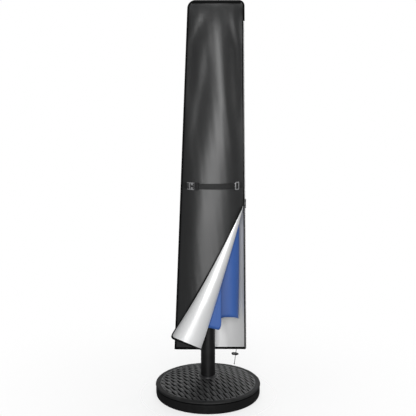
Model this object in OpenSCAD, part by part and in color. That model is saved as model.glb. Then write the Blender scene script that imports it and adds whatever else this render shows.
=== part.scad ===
// Closed market umbrella standing in a round weighted base, under a zipped weather cover.
// Millimetres, +Z up, origin at the centre of the base's underside. The cover's front faces -Y.

/* [Base] */
// Diameter of the round base
base_d = 500; // [460:10:560]
// Height of the base's rim
rim_h = 58; // [50:1:70]
// Height of the base's dome where the tube comes out
hub_h = 88; // [80:1:110]
// Outer diameter of the upright tube
tube_d = 68; // [60:1:72]
// Height of the upright tube's top
tube_top = 430; // [400:5:440]
// Height of the clamp screw's axis
clamp_h = 152; // [140:1:165]

/* [Umbrella] */
// Outer diameter of the umbrella's pole
pole_d = 38; // [36:1:38]
// Height of the hub's hinge pins
hub_z = 1700; // [1690:1:1710]
// Height of the runner's hinge pins with the umbrella closed
runner_z = 505; // [500:1:540]
// Number of ribs
rib_count = 8; // [8:1:8]
// Height of the lowest edge of the closed canopy
canopy_low = 333; // [325:1:345]

/* [Cover] */
// Height of the cover's top seam
cover_top = 1826; // [1822:1:1830]
// Height of the cover's hem at the side seams
hem_z = 219; // [215:1:225]
// Half of the cover's depth at its hem
cover_depth = 92; // [90:1:100]
// Thickness of the cover's fabric
cloth = 2; // [1.5:0.1:2.5]
// Height where the zip is open from
zip_z = 919; // [900:1:940]
// Height of the waist strap
strap_z = 1010; // [990:1:1030]
// Width of the strap's webbing
strap_w = 26; // [25:1:28]

/* [Hidden] */

$fn = 96;
fit = 0.3;                       // gap between neighbouring pieces
base_r = base_d / 2;
tube_r = tube_d / 2;
tube_in = tube_r - 2.5;
pole_r = pole_d / 2;
weave_r = base_r - 24;           // outer edge of the woven field
shell_t = 5;
plate_t = 8;
bolt_circle = 75;

// Cover outline, seen from the front: straight side seams and a rounded top
left_hem = -153;
left_top = -84;
right_hem = 178;
right_top = 155;
corner_left = 30;
corner_right = 18;
seam_gap = 0.5;
hem_tilt = 0.36;                 // how much the hem rises towards the front
fold_x = -33;                    // where the fold meets the front hem
apex_x = 165;                    // where the fold meets the side seam
flap_reach = [-139, 47];         // free corner of the flap, from the fold's foot: x and z
flap_bulge = 62;                 // how far the rolled flap stands out
flap_arc = 150;                  // angle that the roll turns through

// ---------- helpers ----------

function lerp(a, b, t) = a + (b - a) * t;
function smooth(t) = let(c = min(1, max(0, t))) c * c * (3 - 2 * c);
function unit(v) = v / norm(v);

// A closed sheet between two grids of points that have the same rows and columns.
module sheet(outer, inner) {
    rows = len(outer);
    cols = len(outer[0]);
    n = rows * cols;
    points = [for (g = [outer, inner]) for (row = g) for (p = row) p];
    faces = concat(
        [for (i = [0:rows - 2]) for (j = [0:cols - 2]) let(a = i * cols + j)
            each [[a, a + 1, a + cols + 1], [a, a + cols + 1, a + cols]]],
        [for (i = [0:rows - 2]) for (j = [0:cols - 2]) let(a = n + i * cols + j)
            each [[a, a + cols + 1, a + 1], [a, a + cols, a + cols + 1]]],
        [for (j = [0:cols - 2]) let(a = j, b = (rows - 1) * cols + j)
            each [[a, a + n, a + n + 1], [a, a + n + 1, a + 1],
                  [b, b + 1, b + n + 1], [b, b + n + 1, b + n]]],
        [for (i = [0:rows - 2]) let(a = i * cols, b = i * cols + cols - 1)
            each [[a, a + cols, a + cols + n], [a, a + cols + n, a + n],
                  [b, b + n, b + cols + n], [b, b + cols + n, b + cols]]]);
    polyhedron(points, faces, convexity = 6);
}

// A closed wall round the Z axis: each row of the two grids is a full turn.
module tube_wall(outer, inner) {
    rows = len(outer);
    cols = len(outer[0]);
    n = rows * cols;
    points = [for (g = [outer, inner]) for (row = g) for (p = row) p];
    faces = concat(
        [for (i = [0:rows - 2]) for (j = [0:cols - 1])
            let(k = (j + 1) % cols, a = i * cols + j, b = i * cols + k)
            each [[a, b + cols, b], [a, a + cols, b + cols]]],
        [for (i = [0:rows - 2]) for (j = [0:cols - 1])
            let(k = (j + 1) % cols, a = n + i * cols + j, b = n + i * cols + k)
            each [[a, b, b + cols], [a, b + cols, a + cols]]],
        [for (j = [0:cols - 1])
            let(k = (j + 1) % cols, t = (rows - 1) * cols)
            each [[j, k, k + n], [j, k + n, j + n],
                  [t + j, t + k + n, t + k], [t + j, t + j + n, t + k + n]]]);
    polyhedron(points, faces, convexity = 6);
}

// A round cord that follows a list of points; side is a direction the path never takes.
module cord_along(path, r, side, sides = 8) {
    last = len(path) - 1;
    rings = [for (i = [0:last])
        let(t = unit(path[min(last, i + 1)] - path[max(0, i - 1)]),
            a = unit(cross(t, side)), b = cross(t, a))
        [for (k = [0:sides - 1]) path[i] + r * (cos(360 * k / sides) * a + sin(360 * k / sides) * b)]];
    points = [for (ring = rings) for (p = ring) p];
    faces = concat(
        [[for (k = [0:sides - 1]) k]],
        [[for (k = [sides - 1:-1:0]) last * sides + k]],
        [for (i = [0:last - 1]) for (k = [0:sides - 1])
            let(m = (k + 1) % sides)
            each [[i * sides + k, (i + 1) * sides + m, i * sides + m],
                  [i * sides + k, (i + 1) * sides + k, (i + 1) * sides + m]]]);
    polyhedron(points, faces, convexity = 6);
}

module ring(r_out, r_in, z0, z1) {
    translate([0, 0, z0]) difference() {
        cylinder(r = r_out, h = z1 - z0);
        translate([0, 0, -1]) cylinder(r = r_in, h = z1 - z0 + 2);
    }
}

module round_copies(n, r) {
    for (i = [0:n - 1]) rotate([0, 0, 360 * i / n]) translate([r, 0, 0]) children();
}

// Lays a child of that length along Y, centred
module across(length) {
    translate([0, -length / 2, 0]) rotate([-90, 0, 0]) children();
}

// ---------- base ----------

// Height of the dome's outside at radius r
function dome(r) =
    let(share = min(1, max(0, (r - tube_r) / (weave_r - tube_r))))
    rim_h + (hub_h - rim_h) * pow(cos(90 * share), 1.2);

module base_shell() {
    steps = [for (i = [0:10]) lerp(weave_r, tube_r + 1, i / 10)];
    color("#2b2c2e") rotate_extrude() polygon(concat(
        [[base_r - 9, 0], [base_r - 4, 3], [base_r - 1, 12], [base_r - 2, rim_h - 13],
         [base_r - 4, rim_h - 11], [base_r, rim_h - 9], [base_r, rim_h - 4], [base_r - 4, rim_h]],
        [for (r = steps) [r, dome(r)]],
        [for (i = [10:-1:0]) [steps[i], dome(steps[i]) - shell_t]],
        [[base_r - 7, rim_h - shell_t - 2], [base_r - 7, 12], [base_r - 10, 2], [base_r - 10, 0]]));
}

module ballast() {
    steps = [for (i = [0:8]) lerp(weave_r, tube_r + 0.5, i / 8)];
    color("gray") difference() {
        rotate_extrude() polygon(concat(
            [[tube_r + 0.5, plate_t + fit], [base_r - 12, plate_t + fit], [base_r - 8, 14],
             [base_r - 8, rim_h - shell_t - 3]],
            [for (r = steps) [r, dome(r) - shell_t - 0.8]]));
        translate([0, 0, plate_t]) cylinder(r = 96, h = 5);
        round_copies(4, bolt_circle) cylinder(r = 4.6, h = 26);
        round_copies(8, base_r - 30) cylinder(r = 2.6, h = 26);
    }
}

module bottom_plate() {
    color("#1c1c1e") difference() {
        cylinder(r = base_r - 12.5, h = plate_t);
        round_copies(4, bolt_circle) {
            translate([0, 0, -1]) cylinder(r = 4.4, h = plate_t + 2);
            translate([0, 0, -1]) cylinder(r = 10, h = 6.3);
        }
        round_copies(8, base_r - 30) {
            translate([0, 0, -1]) cylinder(r = 2.4, h = plate_t + 2);
            translate([0, 0, -1]) cylinder(r = 5, h = 5.5);
        }
    }
}

module plate_screws() {
    color("silver") round_copies(8, base_r - 30) {
        translate([0, 0, 4.2]) mirror([0, 0, 1]) cylinder(r = 4, h = 2.6);
        translate([0, 0, 3]) cylinder(r = 2, h = 20);
    }
}

module tube_flange() {
    color("dimgray") difference() {
        ring(94, tube_r + 0.1, plate_t + 0.1, plate_t + 4.1);
        round_copies(4, bolt_circle) cylinder(r = 4.3, h = 30);
    }
}

module flange_bolts() {
    color("silver") round_copies(4, bolt_circle) {
        translate([0, 0, 1]) cylinder(r = 7.5, h = 4.2, $fn = 6);
        translate([0, 0, 4]) cylinder(r = 4, h = 20);
    }
}

module upright_tube() {
    color("#232325") difference() {
        ring(tube_r, tube_in, plate_t + 0.1, tube_top);
        translate([0, 20, clamp_h]) rotate([-90, 0, 0]) cylinder(r = 5.3, h = 30);
    }
}

module hub_ring() {
    color("#202022") rotate_extrude() polygon([[tube_r + fit, hub_h + 0.3], [tube_r + 9, hub_h + 0.3],
        [tube_r + 8, hub_h + 3], [tube_r + 4, hub_h + 6], [tube_r + fit, hub_h + 7]]);
}

module clamp_boss() {
    color("dimgray") difference() {
        translate([0, 30, clamp_h]) rotate([-90, 0, 0]) cylinder(r = 11, h = 18);
        translate([0, 20, clamp_h]) rotate([-90, 0, 0]) cylinder(r = 5.2, h = 40);
        cylinder(r = tube_r + 0.1, h = 400);
    }
}

module upper_sleeve() {
    color("#18181a") union() {
        ring(tube_r - 0.2, pole_r + 0.5, tube_top + fit, tube_top + 5);
        ring(tube_in - fit, pole_r + 0.5, tube_top - 90, tube_top + 1);
    }
}

module lower_sleeve() {
    color("#18181a") union() {
        ring(tube_in - fit, pole_r + 0.5, 20, 70);
        translate([0, 0, plate_t + 0.5]) cylinder(r = tube_in - fit, h = 12);
    }
}

// ---------- clamp screw ----------

module clamp_stem() {
    color("silver") translate([0, pole_r + 0.4, clamp_h]) rotate([-90, 0, 0]) cylinder(r = 5, h = 42);
}

module clamp_knob() {
    color("#141416") translate([0, 49, clamp_h]) rotate([-90, 0, 0]) difference() {
        union() {
            cylinder(r = 10, h = 6);
            translate([0, 0, 5]) cylinder(r = 17, h = 16);
            translate([0, 0, 5]) round_copies(5, 16) cylinder(r = 6, h = 16);
        }
        translate([0, 0, -1]) cylinder(r = 5.2, h = 14);
    }
}

// ---------- umbrella ----------

pole_foot_z = plate_t + 12.8;
joint_z = 1010;

module pole_foot() {
    color("#18181a") union() {
        translate([0, 0, pole_foot_z]) cylinder(r = pole_r, h = 5);
        translate([0, 0, pole_foot_z]) cylinder(r = pole_r - 1.8, h = 30);
    }
}

module lower_pole() { color("#2a2a2c") ring(pole_r, pole_r - 1.6, pole_foot_z + 5.2, joint_z); }

module pole_joint() { color("silver") ring(pole_r - 1.8, pole_r - 4, joint_z - 80, joint_z + 80); }

module upper_pole() {
    color("#2a2a2c") difference() {
        ring(pole_r, pole_r - 1.6, joint_z + fit, 1752);
        translate([-40, 0, 1395]) rotate([0, 90, 0]) cylinder(r = 3.2, h = 80);
    }
}

// A ring with a slot and a pin hole for each rib or strut.
module slotted_ring(z, bore) {
    translate([0, 0, z]) difference() {
        ring(36, bore, -12, 12);
        round_copies(rib_count, 32) cube([17, 9, 30], center = true);
        round_copies(rib_count, 29) across(18) cylinder(r = 1.7, h = 18, $fn = 24);
    }
}

module runner() {
    color("#18181a") union() {
        slotted_ring(runner_z, pole_r + 0.4);
        ring(24, pole_r + 0.4, runner_z - 12, runner_z + 45);
    }
}

module top_hub() { color("#18181a") slotted_ring(hub_z, pole_r + 0.1); }

// One pin for each strut in the runner and for each rib in the top hub
module hinge_pins() {
    color("silver") for (z = [runner_z, hub_z]) translate([0, 0, z])
        round_copies(rib_count, 29) across(14) cylinder(r = 1.6, h = 14, $fn = 24);
}

module finial() {
    color("#18181a") union() {
        translate([0, 0, 1700]) cylinder(r = pole_r - 1.8, h = 60);
        translate([0, 0, 1766.4]) cylinder(r = 16, h = 3);
        translate([0, 0, 1752.2]) cylinder(r = 12, h = 16);
        translate([0, 0, 1768]) cylinder(r1 = 9, r2 = 5, h = 12);
        translate([0, 0, 1784]) sphere(r = 9);
    }
}

rib_lean = 0.74;                 // outward lean of a closed rib, in degrees
rib_len = 1318;
rivet_z = 1090;
function rib_r(z) = 30 + (hub_z - z) * tan(rib_lean);

// One rib: a slim bar with an eye at the hub and a clevis for its strut.
module rib(i) {
    color("#3a3b3e") rotate([0, 0, 45 * i]) difference() {
        union() {
            translate([29, 0, hub_z]) across(7.6) cylinder(r = 4, h = 7.6, $fn = 32);
            translate([30, 0, hub_z - 2]) rotate([0, 180 - rib_lean, 0])
                translate([-3.5, -3.8, 0]) cube([8, 7.6, rib_len]);
            for (s = [-1, 1]) translate([rib_r(rivet_z) - 5, s * 4.3, rivet_z])
                cube([16, 1.8, 16], center = true);
        }
        for (p = [[29, hub_z], [rib_r(rivet_z) - 9, rivet_z]]) translate([p[0], 0, p[1]])
            across(20) cylinder(r = 1.7, h = 20, $fn = 24);
    }
}

// One strut: a flat bar from the runner to the rib's clevis.
module strut(i) {
    top_r = rib_r(rivet_z) - 9;
    len = rivet_z - runner_z;
    color("#3a3b3e") rotate([0, 0, 45 * i]) difference() {
        translate([29, 0, runner_z]) rotate([0, atan((top_r - 29) / len), 0]) union() {
            translate([-2.5, -3, 0]) cube([5, 6, len]);
            for (z = [0, len]) translate([0, 0, z]) across(6) cylinder(r = 3.4, h = 6, $fn = 32);
        }
        for (p = [[29, runner_z], [top_r, rivet_z]]) translate([p[0], 0, p[1]])
            across(20) cylinder(r = 1.7, h = 20, $fn = 24);
    }
}

module strut_rivets() {
    color("silver") translate([0, 0, rivet_z]) round_copies(rib_count, rib_r(rivet_z) - 9)
        across(12) cylinder(r = 1.6, h = 12, $fn = 24);
}

module rib_tips() {
    tip_z = hub_z - 2 - rib_len;
    color("#18181a") translate([0, 0, tip_z - 13]) round_copies(rib_count, rib_r(tip_z) + 0.5)
        cylinder(r = 5, h = 12.6, $fn = 32);
}

module stop_pin() {
    color("silver") translate([0, 0, 1395]) union() {
        translate([-24, 0, 0]) rotate([0, 90, 0]) cylinder(r = 3, h = 50, $fn = 32);
        translate([-25, 0, 0]) rotate([0, 90, 0]) cylinder(r = 5, h = 3, $fn = 32);
    }
}

// The closed canopy: half widths left, right and across depth at height z.
function canopy_t(z) = max(0, 1722 - z) / (1722 - canopy_low);
function canopy_left(z) = lerp(46, 128, pow(canopy_t(z), 0.8));
function canopy_right(z) = lerp(46, 147, pow(canopy_t(z), 0.8));
function canopy_half_depth(z) = lerp(46, 68, pow(canopy_t(z), 0.7));
function canopy_edge(x) = canopy_low + 54 * smooth((x - 38) / 32);

function canopy_point(k, z, inset) =
    let(c = cos(k), s = sin(k), w = (c > 0 ? canopy_right(z) : canopy_left(z)) - inset,
        d = canopy_half_depth(z) - inset)
    [w * c, d * s];

module canopy() {
    turns = [for (k = [0:8:352]) k];
    rows = 12;
    outer = concat(
        [for (i = [0:rows]) [for (k = turns)
            let(edge = canopy_edge(canopy_point(k, canopy_low, 0)[0]), z = lerp(edge, 1722, i / rows),
                p = canopy_point(k, z, 0)) [p[0], p[1], z]]],
        [[for (k = turns) [34 * cos(k), 34 * sin(k), 1742]],
         [for (k = turns) [(pole_r + 1) * cos(k), (pole_r + 1) * sin(k), 1748]]]);
    inner = concat(
        [for (i = [0:rows]) [for (k = turns)
            let(edge = canopy_edge(canopy_point(k, canopy_low, 0)[0]), z = lerp(edge, 1716, i / rows),
                p = canopy_point(k, z, 7)) [p[0], p[1], z]]],
        [[for (k = turns) [31 * cos(k), 31 * sin(k), 1734]],
         [for (k = turns) [(pole_r + 1) * cos(k), (pole_r + 1) * sin(k), 1741]]]);
    color("#2f55a4") tube_wall(outer, inner);
}

module vent_cap() {
    color("#2f55a4") rotate_extrude() polygon([[13, 1765.6], [13, 1763.4], [36, 1752.4], [47.5, 1729],
        [49.5, 1729], [38, 1754], [16, 1765.6]]);
}

module tie_strap() {
    tie_z = 860;
    function turn(z, inset) = [for (k = [0:8:352]) let(p = canopy_point(k, z, inset)) [p[0], p[1], z]];
    color("#2f55a4") tube_wall(
        [for (z = [tie_z - 20, tie_z + 20]) turn(z, -2.6)],
        [for (z = [tie_z - 20, tie_z + 20]) turn(z, -0.8)]);
}

// ---------- cover ----------

// Down the cover from its top seam, 0 to 1
function down(z) = (cover_top - z) / (cover_top - hem_z);
function corner(z, r) = z > cover_top - r ? r - sqrt(max(0, r * r - pow(z - cover_top + r, 2))) : 0;
function seam_left(z) = lerp(left_top, left_hem, down(z)) + corner(z, corner_left);
function seam_right(z) = lerp(right_top, right_hem, down(z)) - corner(z, corner_right);
function half_depth(z) = cover_depth * (1 - exp(-down(z) / 0.036)) * (0.74 + 0.26 * down(z));
// 1 in the middle of a panel, 0 at the side seams and beyond
function crown(x, z) =
    let(mid = (seam_left(z) + seam_right(z)) / 2, half = (seam_right(z) - seam_left(z)) / 2)
    pow(max(0, 1 - pow(min(1, abs(x - mid) / half), 2.3)), 0.85);
function fold_at(z) = lerp(fold_x, apex_x, (z - hem_z) / (zip_z - hem_z));
function front_edge(z) = z < zip_z ? min(fold_at(z), seam_right(z)) : seam_right(z);
// Point of a panel: side is -1 at the front and 1 at the back, out is the distance outside its inner face
function panel_point(x, z, side, out) =
    let(d = half_depth(z) * crown(x, z))
    [x, side * (seam_gap + d + out), z - side * hem_tilt * d * pow(down(z), 6)];

rows_z = concat([for (i = [0:20]) lerp(hem_z, 1720, i / 20)], [1750, 1775, 1795, 1808, 1817, 1823, 1826]);

module cover_front() {
    function x_at(s, z) = lerp(seam_left(z), front_edge(z), s);
    color("#2c2d2f") sheet(
        [for (z = rows_z) [for (j = [0:18]) panel_point(x_at(j / 18, z), z, -1, cloth)]],
        [for (z = rows_z) [for (j = [0:18]) panel_point(x_at(j / 18, z), z, -1, 0)]]);
}

module cover_back() {
    function x_at(s, z) = lerp(seam_left(z), seam_right(z), s);
    color("#2c2d2f") sheet(
        [for (z = rows_z) [for (j = [0:18]) panel_point(x_at(j / 18, z), z, 1, 0)]],
        [for (z = rows_z) [for (j = [0:18]) panel_point(x_at(j / 18, z), z, 1, cloth)]]);
}

piping_r = 3.2;

// Welt along the left seam and the top seam, down to the head of the zip
module cover_piping() {
    off = piping_r + 0.6;
    tl = cover_top - corner_left;
    tr = cover_top - corner_right;
    function arc(x, z, r, turns) = [for (k = turns) [x + r * cos(k), 0, z + r * sin(k)]];
    path = concat(
        [for (z = [hem_z + 4:120:tl]) [seam_left(z) - off, 0, z]],
        arc(seam_left(tl) + corner_left, tl, corner_left + off, [180:-15:90]),
        arc(seam_right(tr) - corner_right, tr, corner_right + off, [90:-15:0]),
        [for (z = [1780:-20:1740]) [seam_right(z) + off, 0, z]]);
    color("black") cord_along(path, piping_r, [0, 1, 0]);
}

zip_lean = atan((right_hem - right_top) / (cover_top - hem_z));

// Places things along the right seam: +X is outwards from the seam, +Z is up it.
module on_zip(z) {
    translate([seam_right(z), 0, z]) rotate([0, -zip_lean, 0]) children();
}

// Closed coil above the apex and the fixed tape below it
module zip_tape() {
    color("black") union() {
        on_zip(zip_z + 6) translate([0.8, -2.5, 0]) cube([4.2, 5, 800]);
        on_zip(hem_z + 2) translate([0.8, 0.5, 0]) cube([4.2, 2.0, zip_z - hem_z + 10]);
    }
}

// ---------- waist strap and buckle ----------

function strap_skin(x) = panel_point(x, strap_z, -1, cloth)[1];
function strap_angle(x) = atan((strap_skin(x + 1) - strap_skin(x - 1)) / 2);

// Local frame on the front panel at x: +X along the strap, +Y into the panel
module on_strap(x, lift) {
    translate([x, strap_skin(x), strap_z]) rotate([0, 0, strap_angle(x)]) translate([0, -lift, 0]) children();
}

buckle_x = -58;
slide_x = 129;
half_w = strap_w / 2;

// Rounded bar with its length along X and its faces square to Y
module pad(x0, x1, y0, y1, h, r = 2) {
    translate([0, y1, 0]) rotate([90, 0, 0]) linear_extrude(y1 - y0)
        hull() for (x = [x0 + r, x1 - r]) for (z = [r - h / 2, h / 2 - r])
            translate([x, z]) circle(r, $fn = 32);
}

module buckle_socket() {
    color("#5a5a5c") on_strap(buckle_x, 1.2) difference() {
        union() {
            pad(-30, 0, -10, 0, 33, 3);
            pad(-38, -28, -7, -2, 33, 2);
        }
        translate([-25, -8, -12]) cube([40, 6, 24]);
        translate([-22, -12, -7]) cube([16, 8, 14]);
        for (s = [-1, 1]) translate([-17, -5, s * 16]) cube([13, 4.4, 11], center = true);
        translate([-35.5, -12, -13.5]) cube([3, 14, 27]);
    }
}

module buckle_plug() {
    color("#1a1a1c") on_strap(buckle_x, 1.2) difference() {
        union() {
            translate([-20, -7, -2.5]) cube([21, 4, 5]);
            for (s = [-1, 1]) {
                translate([-17, -7, s * 9 - 1.5]) cube([18, 4, 3]);
                translate([-18, -7, s * 9.8 - 2]) cube([6, 4, 4]);
            }
            pad(0.4, 22, -9, -1, 33, 3);
        }
        translate([8, -12, -13.5]) cube([4, 14, 27]);
        translate([16, -12, -13.5]) cube([3, 14, 27]);
    }
}

strap_from = buckle_x + 24;
strap_to = 118;

module strap() {
    xs = [for (i = [0:16]) lerp(strap_from, strap_to, i / 16)];
    function web(x, z, out) = [x, strap_skin(x) - 1 - out, z];
    color("#1f1f20") sheet(
        [for (z = [strap_z - half_w, strap_z + half_w]) [for (x = xs) web(x, z, 1.8)]],
        [for (z = [strap_z - half_w, strap_z + half_w]) [for (x = xs) web(x, z, 0)]]);
}

// Short webbing loops that hold the socket and the slide
module strap_tabs() {
    left = [for (i = [0:3]) lerp(seam_left(strap_z) + 6, buckle_x - 40, i / 3)];
    right = [for (i = [0:3]) lerp(slide_x + 12, seam_right(strap_z) - 6, i / 3)];
    function web(x, z, out) = [x, strap_skin(x) - 0.9 - out, z];
    color("#1f1f20") for (xs = [left, right]) sheet(
        [for (z = [strap_z - half_w, strap_z + half_w]) [for (x = xs) web(x, z, 1.8)]],
        [for (z = [strap_z - half_w, strap_z + half_w]) [for (x = xs) web(x, z, 0)]]);
}

module strap_slide() {
    color("#8a8a8c") on_strap(slide_x, 1.5) difference() {
        pad(-11, 11, -5, -1, 37, 4);
        for (x = [-7.5, 2.5]) translate([x, -8, -13.5]) cube([5, 10, 27]);
    }
}

// ---------- hem drawcord ----------

cord_x = 138;
cord_y = panel_point(cord_x, hem_z + 10, 1, cloth)[1] + 5;
cord_r = 1.4;
eyelet_z = panel_point(cord_x, hem_z + 10, 1, 0)[2];
// The drawcord's route, from the eyelet down to its knot
cord_route = [[138, 3, 214], [138, 5.6, 211.5], [137.7, 6.8, 207], [137.2, 7, 201], [136.5, 7, 195],
    [135.7, 7, 189], [134.9, 7, 183], [134.1, 7, 177], [133.3, 7, 171], [132.6, 7, 165], [132, 7, 159],
    [131.4, 7, 153], [130.8, 7, 147], [130.1, 7, 141], [129.3, 7, 135], [128.4, 7, 129]];
cord_shift = [0, cord_y - 7, eyelet_z - 214];
lock_at = [134.1, 7, 177];

module hem_eyelet() {
    slope = atan(panel_point(cord_x + 1, hem_z + 10, 1, 0)[1] - panel_point(cord_x, hem_z + 10, 1, 0)[1]);
    color("#3c3c3e") translate([cord_x, cord_y - 4.4, eyelet_z - 0.8]) rotate([0, 0, slope]) rotate([-90, 0, 0])
        difference() {
            cylinder(r = 6.4, h = 1.4, $fn = 48);
            translate([0, 0, -1]) cylinder(r = 4.6, h = 5, $fn = 48);
        }
}

module drawcord() {
    color("#151515") translate(cord_shift) cord_along(cord_route, cord_r, [0, 1, 0.3]);
}

module cord_knot() {
    color("#151515") translate(cord_route[len(cord_route) - 1] + cord_shift - [0, 0, 3.4])
        sphere(r = 3, $fn = 32);
}

module cord_lock() {
    color("#151515") translate(lock_at + cord_shift) rotate([0, 6, 0]) difference() {
        union() {
            translate([-13, 0, 0]) rotate([0, 90, 0]) cylinder(r = 7, h = 20, $fn = 48);
            translate([-13, 0, 0]) sphere(r = 7, $fn = 48);
        }
        cylinder(r = cord_r + 0.6, h = 40, center = true, $fn = 32);
        translate([-4, 0, 0]) rotate([0, 90, 0]) cylinder(r = 5, h = 20, $fn = 48);
    }
}

module lock_button() {
    color("#151515") translate(lock_at + cord_shift) rotate([0, 6, 0]) difference() {
        translate([-0.6, 0, 0]) rotate([0, 90, 0]) cylinder(r = 4.7, h = 14, $fn = 48);
        hull() for (x = [0, 3]) translate([x, 0, 0])
            cylinder(r = cord_r + 0.5, h = 40, center = true, $fn = 32);
    }
}

// ---------- flap ----------

// Free edge of the flap at share t of the way from the apex to the hem
function flap_foot(t) =
    let(z = lerp(zip_z, hem_z, t)) panel_point(fold_at(z), z, -1, 0) + [2.6, 0, 0];
function flap_free(t) =
    let(f = flap_foot(t), x = f[0] + flap_reach[0] * t, z = f[2] + flap_reach[1] * t)
    [x, -(half_depth(z) * crown(x, z) + cloth + 10 + 8 * t), z];

function flap_point(t, s, out) =
    let(f = flap_foot(t), g = flap_free(t), q = g - f, e1 = unit(q),
        e2 = unit([0, -1, 0] - ([0, -1, 0] * e1) * e1),
        k = (s - 0.5) * flap_arc, half = flap_arc / 2,
        side = (sin(k) + sin(half)) / (2 * sin(half)), bump = (cos(k) - cos(half)) / (1 - cos(half)))
    f + q * side + e2 * (flap_bulge * t * bump) + out * (sin(k) * e1 + cos(k) * e2);

module front_flap() {
    ts = [for (i = [1:16]) i / 16];
    color("silver") sheet(
        [for (t = ts) [for (j = [0:14]) flap_point(t, j / 14, cloth * 0.8)]],
        [for (t = ts) [for (j = [0:14]) flap_point(t, j / 14, 0)]]);
}

// ---------- zip slider ----------

module zip_slider() {
    color("#6a6a6c") on_zip(zip_z + 16) difference() {
        union() {
            translate([0.4, -5.4, -7]) cube([7.2, 10.8, 14]);
            translate([1.4, -8.6, -4]) cube([3.2, 4, 8]);
        }
        translate([0.5, -2.8, -8]) cube([4.8, 5.6, 16]);
        translate([-0.6, -4.2, -8]) cube([2, 8.4, 16]);
        translate([-2, -7.2, 0]) rotate([0, 90, 0]) cylinder(r = 0.9, h = 20, $fn = 24);
    }
}

module zip_pull() {
    color("#6a6a6c") on_zip(zip_z + 16) translate([3, -7.2, 0]) difference() {
        union() {
            translate([-3.2, 0, 0]) rotate([0, 90, 0]) cylinder(r = 0.8, h = 6.4, $fn = 24);
            for (s = [-1, 1]) translate([s * 3.1 - 0.9, -0.8, -8]) cube([1.8, 1.6, 8.8]);
            translate([-4, -0.8, -34]) cube([8, 1.6, 27]);
        }
        translate([0, 5, -28]) rotate([90, 0, 0]) cylinder(r = 2, h = 10, $fn = 24);
    }
}

// ---------- what is drawn ----------

base_shell();
ballast();
bottom_plate();
plate_screws();
tube_flange();
flange_bolts();
upright_tube();
hub_ring();
clamp_boss();
upper_sleeve();
lower_sleeve();
clamp_stem();
clamp_knob();
pole_foot();
lower_pole();
pole_joint();
upper_pole();
runner();
top_hub();
hinge_pins();
finial();
strut_rivets();
rib_tips();
stop_pin();
canopy();
vent_cap();
tie_strap();
for (i = [1:rib_count]) rib(i - 1);
for (i = [1:rib_count]) strut(i - 1);
cover_front();
cover_back();
cover_piping();
zip_tape();
strap();
strap_tabs();
buckle_socket();
strap_slide();
hem_eyelet();
drawcord();
cord_knot();
front_flap();
buckle_plug();
zip_slider();
zip_pull();
cord_lock();
lock_button();
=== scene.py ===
"""Closed market umbrella under a zipped cover, in a round base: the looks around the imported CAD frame."""
import math

import bmesh
import bpy
import numpy as np
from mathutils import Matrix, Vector


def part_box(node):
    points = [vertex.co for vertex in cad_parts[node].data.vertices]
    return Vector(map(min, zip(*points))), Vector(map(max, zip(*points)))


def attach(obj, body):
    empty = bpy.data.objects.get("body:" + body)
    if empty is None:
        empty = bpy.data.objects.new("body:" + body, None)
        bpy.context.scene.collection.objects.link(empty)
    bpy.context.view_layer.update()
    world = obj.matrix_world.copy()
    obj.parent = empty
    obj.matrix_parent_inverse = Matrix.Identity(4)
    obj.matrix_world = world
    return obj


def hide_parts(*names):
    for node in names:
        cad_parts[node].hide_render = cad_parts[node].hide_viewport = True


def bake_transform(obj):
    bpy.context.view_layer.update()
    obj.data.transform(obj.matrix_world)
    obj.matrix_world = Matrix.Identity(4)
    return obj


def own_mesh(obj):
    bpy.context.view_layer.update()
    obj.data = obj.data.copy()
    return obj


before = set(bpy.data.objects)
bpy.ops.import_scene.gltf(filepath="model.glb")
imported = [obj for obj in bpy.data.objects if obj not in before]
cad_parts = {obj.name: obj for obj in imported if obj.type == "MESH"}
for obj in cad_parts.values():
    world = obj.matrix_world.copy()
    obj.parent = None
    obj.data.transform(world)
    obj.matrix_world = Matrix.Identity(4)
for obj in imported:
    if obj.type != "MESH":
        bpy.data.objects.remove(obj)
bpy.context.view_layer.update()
scene = bpy.context.scene
scene.view_settings.view_transform = "Standard"

MM = 0.001

# ---- camera and light

CAMERA_AT = Vector((0, -3.4, 1.44))
CAMERA_AIM = Vector((0, 0, 0.90))
HALF_FRAME = 0.95                     # half of what the camera sees at the object, in metres


def aim(obj, target):
    obj.rotation_euler = (Vector(target) - obj.location).to_track_quat("-Z", "Y").to_euler()


camera = bpy.data.objects.new("camera", bpy.data.cameras.new("camera"))
camera.location = CAMERA_AT
camera.data.angle = 2 * math.atan(HALF_FRAME / -CAMERA_AT.y)
aim(camera, CAMERA_AIM)
scene.collection.objects.link(camera)
scene.camera = camera


def softbox(name, place, target, width, height, radiance):
    data = bpy.data.lights.new(name, "AREA")
    data.shape, data.size, data.size_y = "RECTANGLE", width, height
    data.energy = radiance * math.pi * width * height
    light = bpy.data.objects.new(name, data)
    light.location = place
    aim(light, target)
    scene.collection.objects.link(light)


softbox("front_box", (0.05, -4.2, 1.50), (0, 0, 1.00), 2.5, 3.0, 8.0)
softbox("left_box", (-3.6, -1.8, 2.6), (0, 0, 0.9), 1.2, 2.2, 0.7)
softbox("right_box", (3.4, 1.6, 2.2), (0, 0, 0.8), 1.2, 2.4, 2.6)
softbox("top_box", (0.3, 1.9, 4.2), (0, 0, 0.0), 2.6, 2.6, 3.0)
softbox("high_box", (0.05, -2.2, 4.6), (0, 0, 1.75), 1.6, 1.8, 1.2)
softbox("rear_box", (-1.6, 3.9, 3.0), (0, 0, 1.0), 1.8, 2.2, 1.3)
softbox("back_box", (0.9, 4.6, 2.1), (0, 0, 0.2), 2.6, 1.2, 2.2)

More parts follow.
